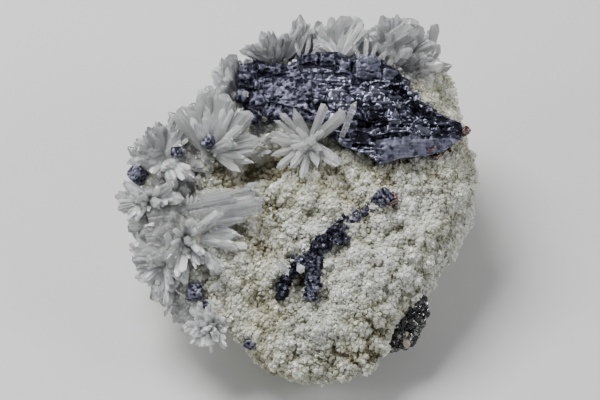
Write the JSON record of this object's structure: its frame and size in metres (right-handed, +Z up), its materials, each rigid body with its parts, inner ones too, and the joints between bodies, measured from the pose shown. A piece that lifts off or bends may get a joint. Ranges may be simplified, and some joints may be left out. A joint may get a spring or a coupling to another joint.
{
  "type": "mineral specimen",
  "caption": "Hand-sized specimen: stepped dark galena crystal, galena vein and beads, sphalerite and quartz prisms on a druse-covered matrix with a flat base.",
  "frame": {"origin": "middle of the specimen's outline, on the flat broken underside that it rests on", "axes": "+Z up from the table; -Y towards the viewer, the side the crystal face is tilted to; +X to the viewer's right"},
  "size_m": [0.1088, 0.1051, 0.0672],
  "materials": {
    "druse_matrix": "satin",
    "galena": "gloss",
    "sphalerite": "gloss",
    "quartz": "gloss"
  },
  "bodies": {
    "root": {"galena_bead_1": "galena", "galena_bead_2": "galena", "galena_bead_3": "galena", "galena_bead_4": "galena", "galena_bead_5": "galena", "galena_bead_6": "galena", "galena_bead_7": "galena", "galena_bead_8": "galena", "galena_bead_9": "galena", "galena_crystal": "galena", "galena_vein": "galena", "matrix": "druse_matrix", "quartz_blade_left": "quartz", "quartz_blocks_top_left": "quartz", "quartz_crown_blade": "quartz", "quartz_crown_fan": "quartz", "quartz_crown_left": "quartz", "quartz_crown_spray": "quartz", "quartz_edge_left": "quartz", "quartz_fan_upper_left": "quartz", "quartz_lower_left": "quartz", "quartz_prism_by_vein": "quartz", "quartz_prism_grey": "quartz", "quartz_prism_on_galena": "quartz", "quartz_rosette": "quartz", "quartz_star": "quartz", "sphalerite_grain_1": "sphalerite", "sphalerite_grain_2": "sphalerite", "sphalerite_grain_3": "sphalerite", "sphalerite_mass": "sphalerite"}
  },
  "joints": []
}
